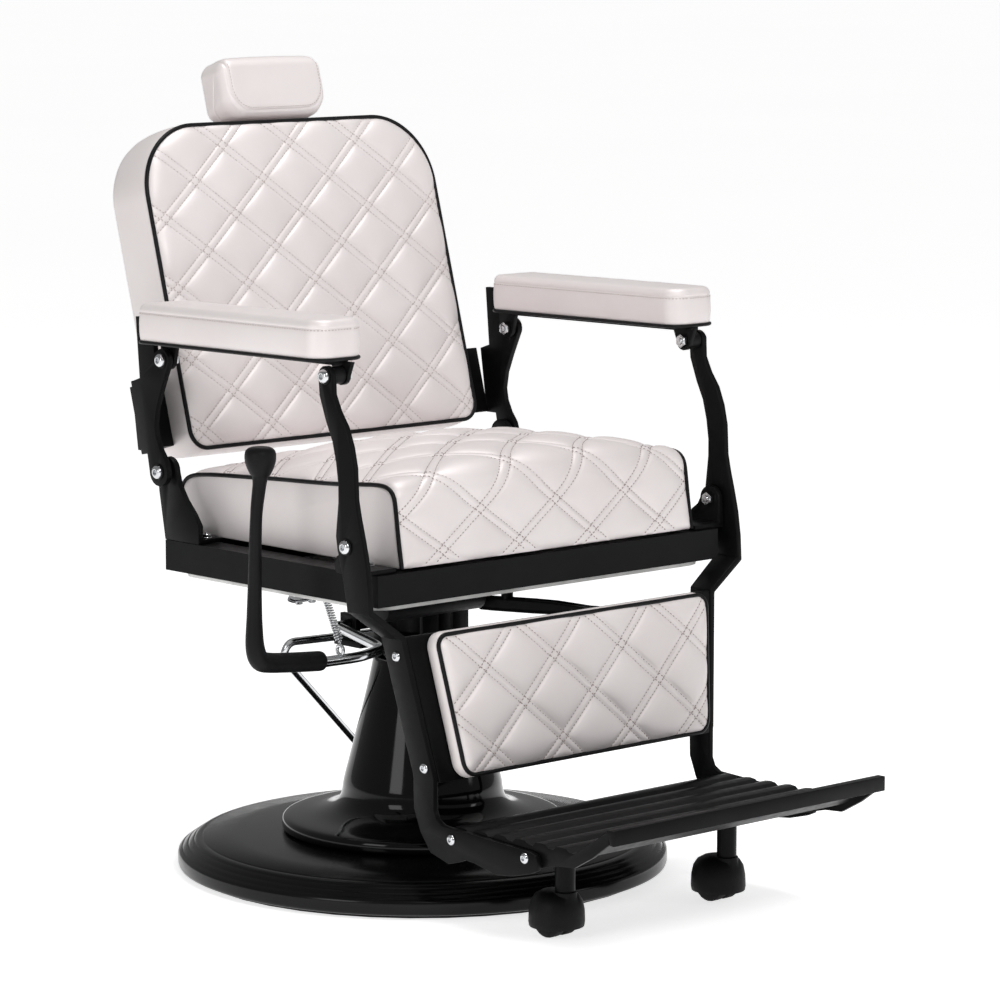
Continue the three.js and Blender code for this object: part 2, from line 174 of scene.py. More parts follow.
def moulded(name, base, low, high, grain, strength):
    n = Nodes(name, Specular_IOR_Level=0.12)
    n.colours(n.noise(20, 3), 0.3, 0.7, base, tuple(1.6 * c for c in base))
    n.roughness(n.noise(160, 4), 0.3, 0.7, low, high)
    n.bumps((n.cells(grain), strength, 0.00025), (n.noise(grain * 2, 2), strength, 0.0001))
    return n.material


def thread(name, dark, light):
    n = Nodes(name, Sheen_Weight=0.3)
    n.colours(n.noise(260, 2), 0.3, 0.7, dark, light)
    n.roughness(n.noise(900, 2), 0.3, 0.7, 0.6, 0.8)
    strands = n.add("TexWave", {"Vector": n.place, "Scale": 900.0, "Distortion": 1.5})
    n.bumps((strands.outputs["Fac"], 0.4, 0.0002),)
    return n.material


PALE = leather("pearl_leather", (0.79, 0.738, 0.733), (0.755, 0.70, 0.694), 0.06)
FINISH = {
    "leather": PALE,
    "black_steel": powder_coat("powder_coated_steel", (0.0034, 0.0034, 0.0036), 0.36),
    "gloss_black": enamel("gloss_black_enamel", 0.06, 0.12, 0.012),
    "chrome": chrome(),
    "black_plastic": moulded("black_moulded_plastic", (0.0055, 0.0055, 0.006), 0.42, 0.54, 1300, 0.22),
    "rubber": moulded("black_rubber", (0.008, 0.008, 0.008), 0.62, 0.78, 800, 0.3),
    "white_board": moulded("white_board", (0.5, 0.5, 0.49), 0.5, 0.6, 500, 0.1),
}
SATIN = enamel("satin_black_enamel", 0.19, 0.235, 0.004)
PIPING = moulded("black_piping_vinyl", (0.006, 0.006, 0.0065), 0.30, 0.42, 1100, 0.15)
# The darker thread is a copy of the thread colour with painted shade of the stitch holes in it; it is used on
# the seat and legrest, and the paler copy is used elsewhere.
SHADED_THREAD = thread("stitching_thread", (0.26, 0.205, 0.19), (0.37, 0.31, 0.29))
PALE_THREAD = thread("pale_stitching_thread", (0.44, 0.38, 0.36), (0.56, 0.50, 0.47))


# ---- meshes ------------------------------------------------------------------

class Shell:
    """Closed surfaces gathered in millimetres and made into one piece."""

    def __init__(self):
        self.points, self.faces, self.count = [], [], 0

    def add(self, points, faces):
        start = self.count
        self.faces += [tuple(i + start for i in f) for f in faces]
        self.points.append(np.asarray(points, float).reshape(-1, 3))
        self.count += len(self.points[-1])
        return self

    def build(self, name, material, body, slot=None, nodes=(), sharp=40):
        mesh = bpy.data.meshes.new(name)
        mesh.from_pydata((np.vstack(self.points) / 1000).tolist(), [], self.faces)
        return finish_piece(name, mesh, material, body, slot, nodes, sharp)


def finish_piece(name, mesh, material, body, slot, nodes, sharp):
    shell = bmesh.new()
    shell.from_mesh(mesh)
    bmesh.ops.recalc_face_normals(shell, faces=shell.faces)
    shell.to_mesh(mesh)
    shell.free()
    mesh.materials.clear()
    mesh.materials.append(material)
    mesh.shade_smooth()
    mesh.set_sharp_from_angle(angle=math.radians(sharp))
    piece = bpy.data.objects.new(name, mesh)
    bpy.context.scene.collection.objects.link(piece)
    if body:
        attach(piece, body)
    if nodes:
        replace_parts(piece, *nodes)
    return piece


def grid_faces(rows, columns, wrap=False):
    across = columns if wrap else columns - 1
    return [
        (i * columns + j, i * columns + (j + 1) % columns,
         (i + 1) * columns + (j + 1) % columns, (i + 1) * columns + j)
        for i in range(rows - 1) for j in range(across)
    ]


def end_caps(rows, around):
    return [tuple(range(around)), tuple(range((rows - 1) * around, rows * around))]


def full_circle(count):
    return np.arange(count) * 2 * math.pi / count


def distance_along(path):
    return np.r_[0, np.cumsum(np.linalg.norm(np.diff(path, axis=0), axis=1))]


def sample(at, far, values):
    """The values interpolated at distances along a path."""
    return np.stack([np.interp(at, far, column) for column in values.T], 1)


def unit(vectors):
    return vectors / np.maximum(np.linalg.norm(vectors, axis=-1, keepdims=True), 1e-9)


def tube(path, radius, sides=12, closed=False, flat=1.0):
    """A round (or flattened) tube along a path, with a radius at each point."""
    path = np.asarray(path, float)
    count = len(path)
    radii = np.broadcast_to(np.asarray(radius, float), (count,))
    if closed:
        along = unit(np.roll(path, -1, 0) - np.roll(path, 1, 0))
    else:
        along = unit(np.gradient(path, axis=0))
    up = np.array([0, 0, 1.0]) if abs(along[0][2]) < 0.9 else np.array([0, 1.0, 0])
    side = unit(np.cross(along[0], up))
    sides_at = []
    for t in along:
        side = unit(side - t * (side @ t))
        sides_at.append(side)
    sides_at = np.array(sides_at)
    if closed:
        last = unit(sides_at[-1] - along[0] * (sides_at[-1] @ along[0]))
        cross = np.cross(along[0], sides_at[0])
        twist = -math.atan2(last @ cross, last @ sides_at[0]) * np.arange(count) / count
        other = np.cross(along, sides_at)
        sides_at = sides_at * np.cos(twist)[:, None] + other * np.sin(twist)[:, None]
    other = np.cross(along, sides_at)
    angles = full_circle(sides)
    ring = sides_at[:, None] * np.cos(angles)[None, :, None]
    ring = ring + flat * other[:, None] * np.sin(angles)[None, :, None]
    points = (path[:, None] + ring * radii[:, None, None]).reshape(-1, 3)
    if closed:
        points = np.vstack([points, points[:sides]])
        faces = [tuple(i % (count * sides) for i in f) for f in grid_faces(count + 1, sides, True)]
        return points[: count * sides], faces
    return points, grid_faces(count, sides, True) + end_caps(count, sides)


def bent_path(points, corner, step=2.5):
    """Straight legs whose corners are rounded, sampled finely."""
    p = [np.asarray(q, float) for q in points]
    out = [p[0]]
    for i in range(1, len(p) - 1):
        back, on = p[i - 1] - p[i], p[i + 1] - p[i]
        reach = min(corner, 0.45 * np.linalg.norm(back), 0.45 * np.linalg.norm(on))
        a, b = p[i] + unit(back) * reach, p[i] + unit(on) * reach
        for t in np.linspace(0, 1, 11):
            out.append((1 - t) ** 2 * a + 2 * t * (1 - t) * p[i] + t * t * b)
    out.append(p[-1])
    return resample(out, step)


def looped(path):
    return np.vstack([path, path[:1]])


def resample(points, step):
    points = np.asarray(points, float)
    far = distance_along(points)
    count = max(2, int(round(far[-1] / step)) + 1)
    return sample(np.linspace(0, far[-1], count), far, points)


def soften(points, rounds=2):
    """Cuts the corners of a profile; its two ends stay."""
    points = np.asarray(points, float)
    for _ in range(rounds):
        a, b = points[:-1], points[1:]
        inner = np.stack([0.75 * a + 0.25 * b, 0.25 * a + 0.75 * b], 1).reshape(-1, points.shape[1])
        points = np.vstack([points[:1], inner, points[-1:]])
    return points


def turned(profile, segments=96, closed=False):
    """A turned piece round Z; the profile lists (radius, height)."""
    profile = np.asarray(profile, float)
    angles = full_circle(segments)
    r, z = profile[:, :1], profile[:, 1:]
    points = np.stack(np.broadcast_arrays(r * np.cos(angles), r * np.sin(angles), z), -1)
    faces = grid_faces(len(profile), segments, True)
    if closed:
        last = (len(profile) - 1) * segments
        faces += [(last + j, last + (j + 1) % segments, (j + 1) % segments, j) for j in range(segments)]
    else:
        faces += end_caps(len(profile), segments)
    return points.reshape(-1, 3), faces


def along_x(points, at, side=1):
    """Turns a piece made round Z to lie along X, pointing away from the middle of the chair."""
    x, y, z = np.asarray(points).T
    return np.stack([side * z + at[0], y + at[1], side * x + at[2]], 1)


# ---- frames of the tilted pieces ---------------------------------------------

# The tilt in degrees, and the (y, z) of each frame's origin.
BACK_TILT, BACK_ORIGIN = -15.5, (168, 579)
LEGREST_TILT, LEGREST_ORIGIN = -9.4, (-304, 192)
ARM_TILT, ARM_ORIGIN = -0.5, (-22, 722)


def turn_about_x(degrees, y, z, origin):
    c, s = math.cos(math.radians(degrees)), math.sin(math.radians(degrees))
    return origin[0] + y * c - z * s, origin[1] + y * s + z * c


def on_back(x, y, z):
    """The back's own frame: x across, y to the rear, z up the slope."""
    yy, zz = turn_about_x(BACK_TILT, y, z, BACK_ORIGIN)
    return np.stack(np.broadcast_arrays(x, yy, zz), -1)


def on_legrest(x, y, z):
    """The legrest's own frame, with z counted from the floor."""
    yy, zz = turn_about_x(LEGREST_TILT, y, z - LEGREST_ORIGIN[1], LEGREST_ORIGIN)
    return np.stack(np.broadcast_arrays(x, yy, zz), -1)


def on_arm(side):
    middle = 1000 * sum(corner.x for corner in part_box("arm_pad_right")) / 2

    def place(x, y, z):
        yy, zz = turn_about_x(ARM_TILT, y, z, ARM_ORIGIN)
        return np.stack(np.broadcast_arrays(side * (middle + x), yy, zz), -1)

    return place


# ---- upholstery --------------------------------------------------------------

# All in millimetres.
STITCH_GAP = 5.2  # from the middle of a welt to the stitch line on each side of it
PUFF_REACH = 8.5  # the padding rises over about this distance from a stitch line
GROOVE_WIDTH, GROOVE_DEPTH = 1.3, 0.9
STITCH_MARGIN = 2.4  # stitches stop this far inside the panel's edge
EDGE_ROLL = 5  # a cover rolls over its edge within about this distance
QUILT_FADE = 6  # and the quilting fades out within about this one
PIPING_OUT = 0.4  # the piping's line stands this far outside the edge
PIPING_STEP = 3


def ease(distance, reach):
    """Rises from 0 at the edge towards 1."""
    return 1 - np.exp(-distance / reach)


def groove(distance):
    return np.exp(-((distance - STITCH_GAP) / GROOVE_WIDTH) ** 2)


class Quilt:
    """Diamond quilting: pairs of stitch lines with a raised welt between them."""

    def __init__(self, width, height, across, along, puff=6.0, welt=1.4):
        self.size = (width, height)
        self.origin = (across, along)
        self.puff, self.welt = puff, welt
        self.pitch = width * height / math.hypot(width, height)

    def families(self, x, s):
        a, b = (x - self.origin[0]) / self.size[0], (s - self.origin[1]) / self.size[1]
        return [np.abs(f - np.round(f)) * self.pitch for f in (a + b, a - b)]

    def height(self, x, s):
        d1, d2 = self.families(x, s)

        def rise(d):
            return ease(np.maximum(d - STITCH_GAP, 0), PUFF_REACH)

        def welt(d):
            return np.clip(1 - (d / STITCH_GAP) ** 2, 0, 1) ** 0.7

        outside = rise(d1) * rise(d2)
        between = np.maximum(welt(d1), welt(d2))
        hollow = np.minimum(groove(d1) + groove(d2), 1)
        return self.puff * outside + self.welt * between - GROOVE_DEPTH * hollow

    def lines(self, x_range, s_range, inside):
        """The stitch lines as runs of (x, s) that lie inside the panel."""
        (w, h), (x0, s0) = self.size, self.origin
        step, shortest_run = 1.4, 6
        x = np.arange(x_range[0], x_range[1], step)
        reach = int((x_range[1] - x_range[0]) / w + (s_range[1] - s_range[0]) / h) + 3
        middle = (np.mean(x_range) - x0) / w
        for sign in (1, -1):
            centre = middle + sign * (np.mean(s_range) - s0) / h
            for k in range(int(centre) - reach, int(centre) + reach + 1):
                for offset in (-STITCH_GAP, STITCH_GAP):
                    s = s0 + sign * h * (k + offset / self.pitch - (x - x0) / w)
                    keep = inside(x, s) > STITCH_MARGIN
                    for run in runs(keep):
                        if len(run) > shortest_run:
                            yield x[run], s[run]


def runs(keep):
    at = np.flatnonzero(keep)
    return [] if len(at) == 0 else np.split(at, np.flatnonzero(np.diff(at) > 1) + 1)


def ripple(x, z, size):
    """A soft, fixed unevenness of about plus or minus one."""
    total = 0
    for k, (p, q, r) in enumerate(PHASES):
        f = (k + 1.5) / size
        total = total + np.sin(x * f * math.cos(r) + z * f * math.sin(r) + p) * np.cos(z * f * 0.7 + q)
    return total / 3


def edge_distance(x, z, box, radii):
    """Distance inside a rectangle whose corners are rounded: radii are bl, br, tr, tl."""
    x0, x1, z0, z1 = box
    cx, cz = x - (x0 + x1) / 2, z - (z0 + z1) / 2
    bl, br, tr, tl = radii
    r = np.where(cz < 0, np.where(cx < 0, bl, br), np.where(cx < 0, tl, tr))
    qx, qz = np.abs(cx) - (x1 - x0) / 2 + r, np.abs(cz) - (z1 - z0) / 2 + r
    outside = np.hypot(np.maximum(qx, 0), np.maximum(qz, 0))
    return r - outside - np.minimum(np.maximum(qx, qz), 0)


def panel_rows(z0, z1, low, high, step):
    """Rows of a panel with rounded corners, close together where the outline turns."""
    turn = np.linspace(0, math.pi / 2, 26)
    first = z0 + low * (1 - np.cos(turn))
    last = (z1 - high * (1 - np.cos(turn)))[::-1]
    middle = np.arange(first[-1] + step, last[0] - step / 2, step)
    rows = np.unique(np.r_[first, middle, last].round(4))
    spread = [np.linspace(a, b, math.ceil((b - a) / step) + 1)[:-1] for a, b in zip(rows[:-1], rows[1:])]
    return np.r_[np.concatenate(spread), rows[-1]]


def half_widths(rows, half, z0, z1, low, high):
    w = np.full(len(rows), float(half))
    for r, gone in ((low, rows - z0), (high, z1 - rows)):
        t = np.clip(r - gone, 0, r)
        w = np.minimum(w, half - r + np.sqrt(r * r - t * t))
    return w


def pad(rows, widths, columns, surface, rings, place, crowd=0.0):
    """A closed cushion: a shaped panel, side walls through (inset, depth) rings, and a flat rear."""
    t = np.linspace(-1, 1, columns)
    u = (1 - crowd) * t + crowd * np.sin(math.pi / 2 * t)
    x, z = widths[:, None] * u, rows[:, None] * np.ones(columns)
    m, n = x.shape
    loop = [(0, j) for j in range(n)] + [(i, n - 1) for i in range(1, m)]
    loop += [(m - 1, j) for j in range(n - 2, -1, -1)] + [(i, 0) for i in range(m - 2, 0, -1)]
    index = [i * n + j for i, j in loop]
    edge = np.stack([x.ravel()[index], z.ravel()[index]], 1)
    normal = outward(edge)
    points = [surface(x.ravel(), z.ravel())]
    faces = grid_faces(m, n)
    before, start = index, m * n
    for inset, depth in rings:
        ring = edge - normal * inset
        points.append(place(ring[:, 0], depth, ring[:, 1]))
        now = list(range(start, start + len(index)))
        faces += [(before[k], before[k - 1], now[k - 1], now[k]) for k in range(len(now))]
        before, start = now, start + len(now)
    faces.append(tuple(before))
    return np.vstack(points), faces, edge, normal


def outward(edge):
    along = unit(np.roll(edge, -3, 0) - np.roll(edge, 3, 0))
    return np.stack([along[:, 1], -along[:, 0]], 1)


def stitch_run(path, normal, pitch=5.4, length=3.2, radius=0.72, start=2.0):
    """Separate stitches along a path: short threads whose ends dip into the cover."""
    path, normal = np.asarray(path, float), np.asarray(normal, float)
    far = distance_along(path)
    at = np.arange(start, far[-1] - length / 2, pitch)
    if len(at) == 0:
        return np.zeros((0, 3)), []
    centre = sample(at, far, path)
    up = unit(sample(at, far, normal))
    along = unit(sample(at + 0.8, far, path) - centre + 1e-9)
    side = np.cross(along, up)
    sides = 6
    stations = [(-0.5, 0.35, -0.5), (-0.36, 0.9, 0.1), (0, 1.0, 0.3), (0.36, 0.9, 0.1), (0.5, 0.35, -0.5)]
    angles = full_circle(sides)
    rings = []
    for share, swell, lift in stations:
        base = centre + along * share * length + up * lift * radius
        ring = side[:, None] * np.cos(angles)[None, :, None] + up[:, None] * np.sin(angles)[None, :, None]
        rings.append(base[:, None] + ring * radius * swell)
    points = np.stack(rings, 1).reshape(-1, 3)
    each = len(stations) * sides
    one = grid_faces(len(stations), sides, True) + end_caps(len(stations), sides)
    faces = [tuple(i + k * each for i in f) for k in range(len(at)) for f in one]
    return points, faces


def surface_normals(surface, x, s):
    step = 0.7
    dx = surface(x + step, s) - surface(x - step, s)
    ds = surface(x, s + step) - surface(x, s - step)
    return unit(np.cross(dx, ds))


# Unless another material is given, the stitches take the darker thread, whose colour carries painted shade of
# the stitch holes.
def quilt_stitches(name, quilt, surface, inside, x_range, s_range, body, material=SHADED_THREAD):
    shell = Shell()
    for x, s in quilt.lines(x_range, s_range, inside):
        path = surface(x, s)
        up = surface_normals(surface, x, s)
        shell.add(*stitch_run(path + 0.3 * up, up))
    return shell.build(name, material, body)


def piping(name, path, body, closed=True, radius=2.9):
    points, faces = tube(resample(path, 4) if not closed else path, radius, 10, closed)
    return Shell().add(points, faces).build(name, PIPING, body)


def make_back():
    half, bottom, top = 254, -7, 428
    low_corner, high_corner = 25, 95
    panel_y, piping_y = 3.5, 2.6
    box, radii = (-half, half, bottom, top), (low_corner, low_corner, high_corner, high_corner)
    quilt = Quilt(117.5, 95.2, 0, 303, puff=6.6)

    def inside(x, z):
        return edge_distance(x, z, box, radii)

    def surface(x, z):
        e = np.maximum(inside(x, z), 0)
        crown = 5.5 * ease(e, 45) + 3.5 * ease(e, EDGE_ROLL)
        lift = crown + quilt.height(x, z) * ease(e, QUILT_FADE) + 0.5 * ripple(x, z, 90) * (e > 0)
        return on_back(x, panel_y - lift, z)

    rows = panel_rows(bottom, top, low_corner, high_corner, 2.1)
    widths = half_widths(rows, half, bottom, top, low_corner, high_corner)
    rings = [
        (-0.5, 5), (-2.0, 9), (-3.6, 16), (-4.8, 28), (-5.2, 42), (-4.8, 56), (-3.4, 68), (-1, 77),
        (3, 83.5), (9, 88), (16, 90), (24, 90.4),
    ]
    points, faces, edge, normal = pad(rows, widths, 245, surface, rings, on_back)
    cover = Shell().add(points, faces).build(
        "back_cushion_cover", PALE, "backrest", "leather", ["back_cushion"], 60)
    ranges = (2 - half, half - 2), (bottom + 2, top - 2)
    quilt_stitches("back_stitching", quilt, surface, inside, *ranges, "backrest", PALE_THREAD)
    line = thin(edge + normal * PIPING_OUT, PIPING_STEP)
    piping("back_piping", on_back(line[:, 0], piping_y, line[:, 1]), "backrest")


def thin(loop, step):
    """A closed loop sampled evenly."""
    return resample(looped(loop), step)[:-1]


def make_legrest():
    half, bottom, top, corner = 240, 198, 377, 17
    half_at_bottom = 216
    panel_y, piping_y = -22.5, -22.8
    box, radii = (-half, half, bottom, top), (corner,) * 4
    quilt = Quilt(120.5, 106, 11, 278, puff=7.0)

    def taper(z):
        return (half_at_bottom + (half - half_at_bottom) * (z - bottom) / (top - bottom)) / half

    def inside(x, z):
        return edge_distance(x / taper(z), z, box, radii)

    def surface(x, z):
        e = np.maximum(inside(x, z), 0)
        crown = 4 * ease(e, 35) + 3.2 * ease(e, EDGE_ROLL)
        lift = crown + quilt.height(x, z) * ease(e, QUILT_FADE) + 0.4 * ripple(x, z, 80) * (e > 0)
        return on_legrest(x, panel_y - lift, z)

    rows = panel_rows(bottom, top, corner, corner, 2)
    widths = half_widths(rows, half, bottom, top, corner, corner) * taper(rows)
    rings = [(-1.5, -20), (-3.6, -16), (-4.6, -10), (-3.6, -5), (-0.8, -1.5), (3, -0.6)]
    points, faces, edge, normal = pad(rows, widths, 235, surface, rings, on_legrest)
    cover = Shell().add(points, faces).build(
        "legrest_cushion_cover", PALE, "legrest", "leather", ["legrest_cushion"], 60)
    quilt_stitches("legrest_stitching", quilt, surface, inside, (-half, half), (bottom, top), "legrest")
    line = thin(edge + normal * PIPING_OUT, PIPING_STEP)
    piping("legrest_piping", on_legrest(line[:, 0], piping_y, line[:, 1]), "legrest")


SEAT_HALF = 257
SEAT_STEP = 1.9
# The cushion's outline from the side as (y, z): up the front, over the top and down the rear.
SEAT_SIDE = [
    (-253, 460), (-249, 482), (-245, 508), (-241.5, 535), (-238.6, 550), (-231, 559), (-220, 562.8),
    (-205, 563.6), (-174, 561), (-125, 556.5), (-64, 553.6), (0, 551), (54, 547.6), (108, 545),
    (150, 541.5), (170, 538), (183, 531), (190, 521), (191, 505), (189, 480), (184, 460),
]
# How far the middle stands above that outline; the last height is at the outline's end.
CROWN_AT = [0, 50, 90, 120, 160, 210, 300, 400, 480, 545, 600]
CROWN = [6, 11, 16, 22, 31, 36, 38, 28, 14, 5, 2, 0]


def make_seat():
    side = resample(soften(SEAT_SIDE, 3), SEAT_STEP)
    along = unit(np.gradient(side, axis=0))
    up = np.stack([-along[:, 1], along[:, 0]], 1)
    for _ in range(30):
        up = unit(np.vstack([up[:1], (up[:-2] + up[1:-1] + up[2:]) / 3, up[-1:]]))
    far = np.arange(len(side)) * SEAT_STEP
    total = far[-1]
    quilt = Quilt(128.5, 93, 3, 64, puff=5.0)

    def inside(x, s):
        return np.minimum(SEAT_HALF - np.abs(x), np.minimum(s, total - s))

    def surface(x, s):
        e = np.maximum(inside(x, s), 0)
        y, z = (np.interp(s, far, side[:, k]) for k in (0, 1))
        ny, nz = (np.interp(s, far, up[:, k]) for k in (0, 1))
        width = 1 - np.abs(x / SEAT_HALF) ** 2.3
        lift = np.interp(s, CROWN_AT + [total], CROWN) * width + 3.0 * ease(e, EDGE_ROLL) - 3.0
        lift = lift + quilt.height(x, s) * ease(e, QUILT_FADE) + 0.6 * ripple(x, s, 100) * (e > 0)
        return np.stack([x, y + ny * lift, z + nz * lift], -1)

    columns = 250
    x = np.linspace(-SEAT_HALF, SEAT_HALF, columns)
    grid_x, grid_s = np.broadcast_arrays(x[None, :], far[:, None])
    m = len(far)
    points = surface(grid_x.ravel(), grid_s.ravel())
    faces = grid_faces(m, columns)
    faces += [(j, j + 1, (m - 1) * columns + j + 1, (m - 1) * columns + j) for j in range(columns - 1)]
    shell = Shell().add(points, faces)
    add_seat_sides(shell, points, m, columns)
    cover = shell.build("seat_cushion_cover", PALE, "seat_frame", "leather", ["seat_cushion"], 60)
    quilt_stitches("seat_stitching", quilt, surface, inside, (-255, 255), (2, total - 2), "seat_frame")
    for name, sign in (("left", -1), ("right", 1)):
        line = np.stack([np.full(m, sign * (SEAT_HALF + 0.6)), side[:, 0], side[:, 1]], 1)
        line[:, 1:] -= up * 1.6
        piping("seat_piping_" + name, line, "seat_frame", closed=False)


def add_seat_sides(shell, points, m, columns):
    """Plain side panels that swell a little, welded to the first and last columns of the cover."""
    middle = np.array([-30.0, 508.0])
    for column, sign in ((0, -1), (columns - 1, 1)):
        before = [i * columns + column for i in range(m)]
        edge = points[before][:, 1:]
        for share in (0.985, 0.955, 0.9, 0.8, 0.65, 0.45, 0.25, 0.1):
            swell = 1.2 + 4.5 * (1 - share ** 2)
            flat = middle + (edge - middle) * share
            crease = 0.8 * ripple(flat[:, 0], flat[:, 1], 60) * (1 - share)
            ring = np.column_stack([sign * (SEAT_HALF + swell + crease), flat])
            start = shell.count
            now = list(range(start, start + m))
            corners = [(before[k], before[k - 1], now[k - 1], now[k]) for k in [*range(1, m), 0]]
            shell.add(ring, [[i - start for i in face] for face in corners])
            before = now
        shell.faces.append(tuple(before))


def make_arm(name, side):
    place = on_arm(side)
    half, reach = 40, 183
    front_corner, rear_corner, edge_radius = 26, 12, 8.0
    top, seam_height, piping_height = 50.4, 38.7, 1.4
    box, radii = (-half, half, -reach, reach), (front_corner, front_corner, rear_corner, rear_corner)
    node = "arm_pad_" + name
    body = "arm_" + name

    def inside(x, y):
        return edge_distance(x, y, box, radii)

    def surface(x, y):
        e = np.clip(inside(x, y), 0, None)
        r = edge_radius
        fall = r - np.sqrt(np.maximum(r * r - np.maximum(r - e, 0) ** 2, 0))
        crown = 2.8 * ease(e, 15) + 0.3 * ripple(x, y, 60) * np.minimum(e / 10, 1)
        return place(x, y, top - fall + crown)

    rows = panel_rows(-reach, reach, front_corner, rear_corner, 2.5)
    widths = half_widths(rows, half, -reach, reach, front_corner, rear_corner)
    walls = [
        (0.1, 41.8), (0.35, 41.2), (0.5, 40.7), (0.1, 40.0), (-0.6, 35), (-1.1, 26), (-1.0, 16),
        (-0.4, 8), (0.8, 3), (2.5, 1.2), (5, 0.6),
    ]

    def ring_place(x, depth, y):
        return place(x, y, depth)

    points, faces, edge, normal = pad(rows, widths, 61, surface, walls, ring_place, crowd=0.75)
    cover = Shell().add(points, faces).build(node + "_cover", PALE, body, "leather", [node], 60)
    line = thin(edge, 2)
    out = outward(line)
    seam = line - out * 0.1
    path = place(*seam.T, seam_height)
    tip = place(*(seam + out).T, seam_height)
    line_out = looped(path + (tip - path) * 0.55)
    stitches = stitch_run(line_out, looped(tip - path), pitch=4.8, length=3.1, radius=0.6)
    Shell().add(*stitches).build(node + "_stitching", PALE_THREAD, body)
    piping(node + "_piping", place(*(line - out * 0.2).T, piping_height), body, radius=2.4)


HEAD_CORNER = 16.0
# Half the width of the front panel inside its seam, and how far below the middle the seam runs.
SEAM_HALF, SEAM_LOW = 81.0, 32.5


def make_headrest():
    half, r = np.array([90.5, 28.5, 40.5]), HEAD_CORNER
    middle = np.array([0, 31.0, 478.8])
    n = 96
    shell = Shell()
    t = np.linspace(-1, 1, n)
    a, b = (g.ravel() for g in np.meshgrid(t, t, indexing="ij"))
    for axis in range(3):
        for sign in (-1, 1):
            p = np.zeros((n * n, 3))
            p[:, axis] = sign
            p[:, (axis + 1) % 3], p[:, (axis + 2) % 3] = a, b
            p = p * half
            core = np.clip(p, -(half - r), half - r)
            p = core + unit(p - core) * r
            shell.add(headrest_shape(p, half) + middle, grid_faces(n, n))
    points = np.vstack(shell.points)
    shell.points = [on_back(points[:, 0], points[:, 1], points[:, 2])]
    cover = shell.build("headrest_pad_cover", PALE, "headrest", "leather", ["headrest_pad"], 60)
    weld(cover.data)
    make_headrest_stitching(half, r, middle)


def make_headrest_stitching(half, r, middle):
    """One row inside the seam that runs down both ends and across the front."""
    inset, top = 3.2, 60.0
    x_side, z_low = SEAM_HALF - inset, inset - SEAM_LOW
    corners = [[-x_side, 0, top], [-x_side, 0, z_low], [x_side, 0, z_low], [x_side, 0, top]]
    line = bent_path(corners, 30, 1.5)
    keep = line[:, 2] < 36
    x, z = line[keep, 0], line[keep, 2]
    face = np.stack([x, np.full(len(x), -half[1]), z], 1)
    core = np.clip(face, -(half - r), half - r)
    up = unit(face - core)
    path = headrest_shape(core + up * r, half) + middle + up * 0.15
    world = on_back(*path.T)
    away = on_back(*(path + up).T) - world
    stitches = stitch_run(world, away, pitch=4.4, length=3.1, radius=0.5)
    Shell().add(*stitches).build("headrest_stitching", PALE_THREAD, "headrest")


def headrest_shape(p, half):
    """Swells the pad, and sinks the seam round its front panel."""
    x, y, z = p.T
    bulge = np.clip(1 - (x / half[0]) ** 2, 0, 1) * np.clip(1 - (z / half[2]) ** 2, 0, 1)
    q = p.copy()
    q[:, 1] += np.where(y < 0, -3.0, 1.0) * bulge
    # Towards the lower front the pad narrows, and near both ends its lower edge rises.
    low = np.clip(-z / half[2], 0, 1) * np.clip((half[1] - 8 - y) / (2 * half[1] - 12), 0, 1)
    q[:, 0] *= 1 - 0.10 * low ** 3
    corner = np.clip((np.abs(x) / half[0] - 0.72) / 0.28, 0, 1) ** 2
    q[:, 2] += (14.0 * low - 5.0 * np.clip(z / half[2], 0, 1)) * corner
    # The top and bottom swell, the seam sinks and the panel inside it rises.
    q[:, 2] += 2.0 * np.sign(z) * np.clip(1 - (x / half[0]) ** 2, 0, 1) * np.clip((np.abs(z) - 18) / 20, 0, 1)
    seam = edge_distance(x, z, (-SEAM_HALF, SEAM_HALF, -SEAM_LOW, 90), (32, 32, 1, 1))
    sunk = 1.5 * np.exp(-(seam / 1.3) ** 2) * np.clip((10 - y) / 8, 0, 1)
    raised = 1.2 * np.clip(seam / 6, 0, 1) * np.clip((8 - y) / 12, 0, 1)
    inward = unit(np.clip(p, -(half - HEAD_CORNER), half - HEAD_CORNER) - p)
    q += inward * (sunk - raised)[:, None]
    # A shallow slit at each end.
    slit = np.exp(-((y + 4 + 0.25 * z) / 1.2) ** 2) * (np.abs(x) > half[0] - 9) * np.clip((26 - z) / 30, 0, 1)
    q[:, 0] -= np.sign(x) * 1.6 * slit
    return q


def weld(mesh):
    shell = bmesh.new()
    shell.from_mesh(mesh)
    bmesh.ops.remove_doubles(shell, verts=shell.verts, dist=0.00002)
    bmesh.ops.recalc_face_normals(shell, faces=shell.faces)
    shell.to_mesh(mesh)
    shell.free()
    mesh.shade_smooth()
    mesh.update()


# ---- turned and bent metal ---------------------------------------------------

